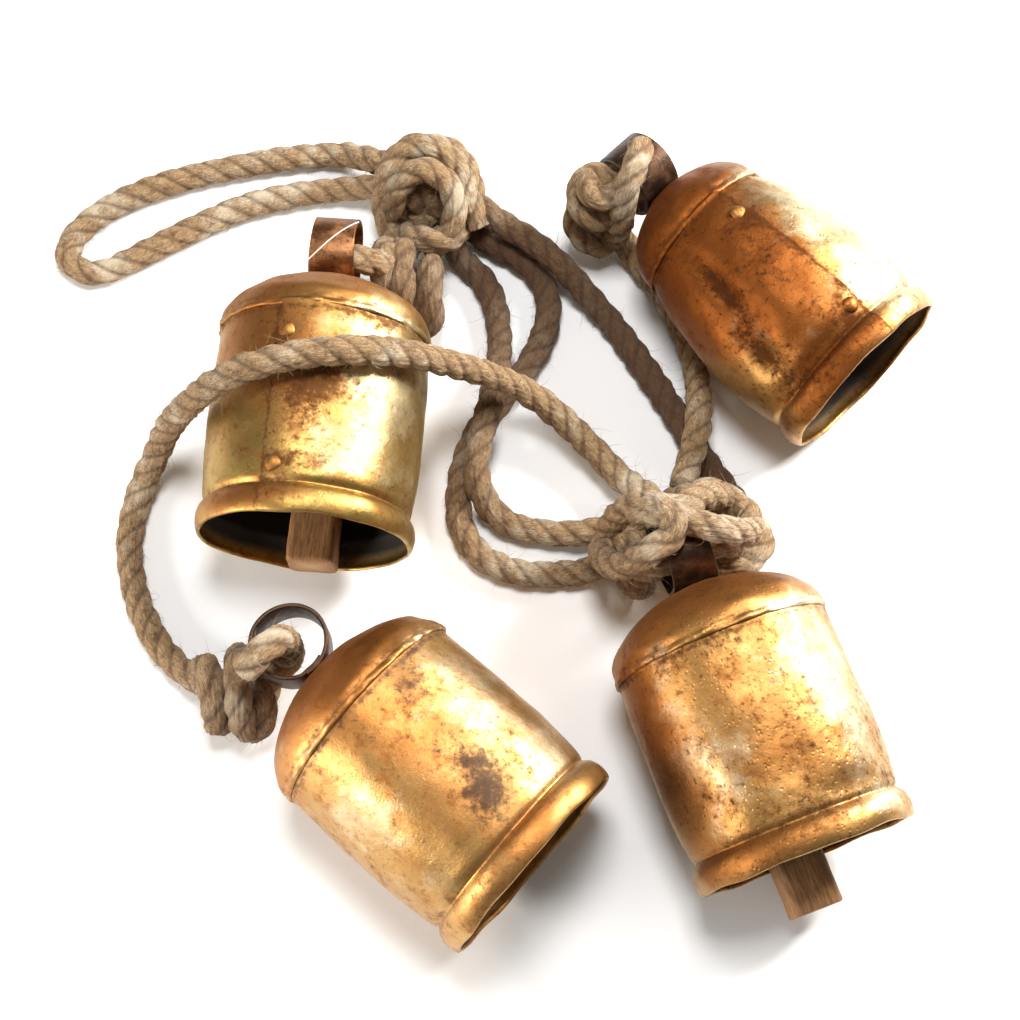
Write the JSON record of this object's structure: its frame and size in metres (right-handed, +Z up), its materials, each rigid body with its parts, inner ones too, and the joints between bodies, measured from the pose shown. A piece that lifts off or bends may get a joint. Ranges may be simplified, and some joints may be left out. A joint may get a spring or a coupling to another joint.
{
  "type": "string of sheet-metal cow bells on a rope",
  "caption": "Domed, lap-seamed sheet-metal bells with wooden clappers, tied to the ends of a knotted jute rope that has a hanging loop.",
  "frame": {"origin": "middle of the whole string's footprint, on the surface it lies on", "axes": "+Z up from the surface the string lies on; +X to the right of the laid-out string, along its longest extent; +Y from the lower bells to the main knot"},
  "size_m": [0.3308, 0.3141, 0.0899],
  "materials": {
    "bell_1_metal": "brass-washed sheet iron, greenish gold with rust-brown and grey stains, satin",
    "bell_2_metal": "copper-washed sheet iron, orange copper with dark spots, satin to bright",
    "bell_3_metal": "brass-washed sheet iron, gold with a dark grey stain, satin",
    "bell_4_metal": "brass-washed sheet iron, hammered and pitted, bright where rubbed",
    "strip": "dark rust-brown iron strip with copper wash left on it",
    "wire": "dark iron wire",
    "wood": "unfinished brown hardwood",
    "rope": "three-strand jute, hairy, shaded dark brown in the lay"
  },
  "bodies": {
    "root": {"hanging_loop": "rope", "main_knot": "rope", "lead_1": "rope", "inner_lead": "rope", "outer_lead": "rope", "lead_4": "rope", "front_strand": "rope", "right_strand": "rope", "knot_1": "rope", "knot_2": "rope", "knot_3": "rope", "knot_4": "rope", "tail_1": "rope", "tail_2": "rope", "tail_3": "rope", "tail_4": "rope"},
    "bell_1": {"bell_1_shell": "bell_1_metal", "bell_1_crown": "bell_1_metal", "bell_1_hanger": "strip", "bell_1_rivets": "bell_1_metal", "bell_1_staple": "wire"},
    "link_1": {"bell_1_link": "wire"},
    "clapper_1": {"bell_1_clapper": "wood"},
    "bell_2": {"bell_2_shell": "bell_2_metal", "bell_2_crown": "bell_2_metal", "bell_2_hanger": "strip", "bell_2_rivets": "bell_2_metal", "bell_2_staple": "wire"},
    "link_2": {"bell_2_link": "wire"},
    "clapper_2": {"bell_2_clapper": "wood"},
    "bell_3": {"bell_3_shell": "bell_3_metal", "bell_3_crown": "bell_3_metal", "bell_3_hanger": "strip", "bell_3_rivets": "bell_3_metal", "bell_3_staple": "wire"},
    "link_3": {"bell_3_link": "wire"},
    "clapper_3": {"bell_3_clapper": "wood"},
    "bell_4": {"bell_4_shell": "bell_4_metal", "bell_4_crown": "bell_4_metal", "bell_4_hanger": "strip", "bell_4_rivets": "bell_4_metal", "bell_4_staple": "wire"},
    "link_4": {"bell_4_link": "wire"},
    "clapper_4": {"bell_4_clapper": "wood"}
  },
  "joints": [
    {"name": "bell_1_turn", "type": "hinge", "parent": "root", "child": "bell_1", "pos_m": [-0.05226, 0.09163, 0.0388], "axis": [-0.0698, -0.9976, 0], "range_deg": [-12, 12]},
    {"name": "link_1_swing", "type": "hinge", "parent": "bell_1", "child": "link_1", "pos_m": [-0.054, 0.06679, 0.0388], "axis": [-0.9976, 0.0698, 0], "range_deg": [0, 12]},
    {"name": "clapper_1_swing", "type": "hinge", "parent": "link_1", "child": "clapper_1", "pos_m": [-0.05521, 0.04952, 0.0143], "axis": [-0.9976, 0.0698, 0], "range_deg": [0, 30]},
    {"name": "bell_2_swing", "type": "hinge", "parent": "root", "child": "bell_2", "pos_m": [0.06048, 0.12707, 0.03497], "axis": [-0.7193, -0.6947, 0], "range_deg": [0, 24]},
    {"name": "link_2_swing", "type": "hinge", "parent": "bell_2", "child": "link_2", "pos_m": [0.0775, 0.10945, 0.0354], "axis": [-0.7193, -0.6947, 0], "range_deg": [0, 10]},
    {"name": "clapper_2_swing", "type": "hinge", "parent": "link_2", "child": "clapper_2", "pos_m": [0.09137, 0.09509, 0.01874], "axis": [-0.7193, -0.6947, 0], "range_deg": [0, 24]},
    {"name": "bell_3_turn", "type": "hinge", "parent": "root", "child": "bell_3", "pos_m": [-0.06289, -0.05596, 0.0388], "axis": [0.7501, -0.6613, 0], "range_deg": [0, 12]},
    {"name": "link_3_swing", "type": "hinge", "parent": "bell_3", "child": "link_3", "pos_m": [-0.04421, -0.07243, 0.0388], "axis": [-0.6613, -0.7501, 0], "range_deg": [0, 12]},
    {"name": "clapper_3_swing", "type": "hinge", "parent": "link_3", "child": "clapper_3", "pos_m": [-0.03122, -0.08388, 0.0143], "axis": [-0.6613, -0.7501, 0], "range_deg": [0, 30]},
    {"name": "bell_4_swing", "type": "hinge", "parent": "root", "child": "bell_4", "pos_m": [0.07186, -0.02282, 0.0388], "axis": [-0.9367, -0.3502, 0], "range_deg": [0, 30]},
    {"name": "link_4_swing", "type": "hinge", "parent": "bell_4", "child": "link_4", "pos_m": [0.08058, -0.04615, 0.0388], "axis": [-0.9367, -0.3502, 0], "range_deg": [0, 8]},
    {"name": "clapper_4_swing", "type": "hinge", "parent": "link_4", "child": "clapper_4", "pos_m": [0.08665, -0.06236, 0.0143], "axis": [-0.9367, -0.3502, 0], "range_deg": [0, 25]}
  ]
}
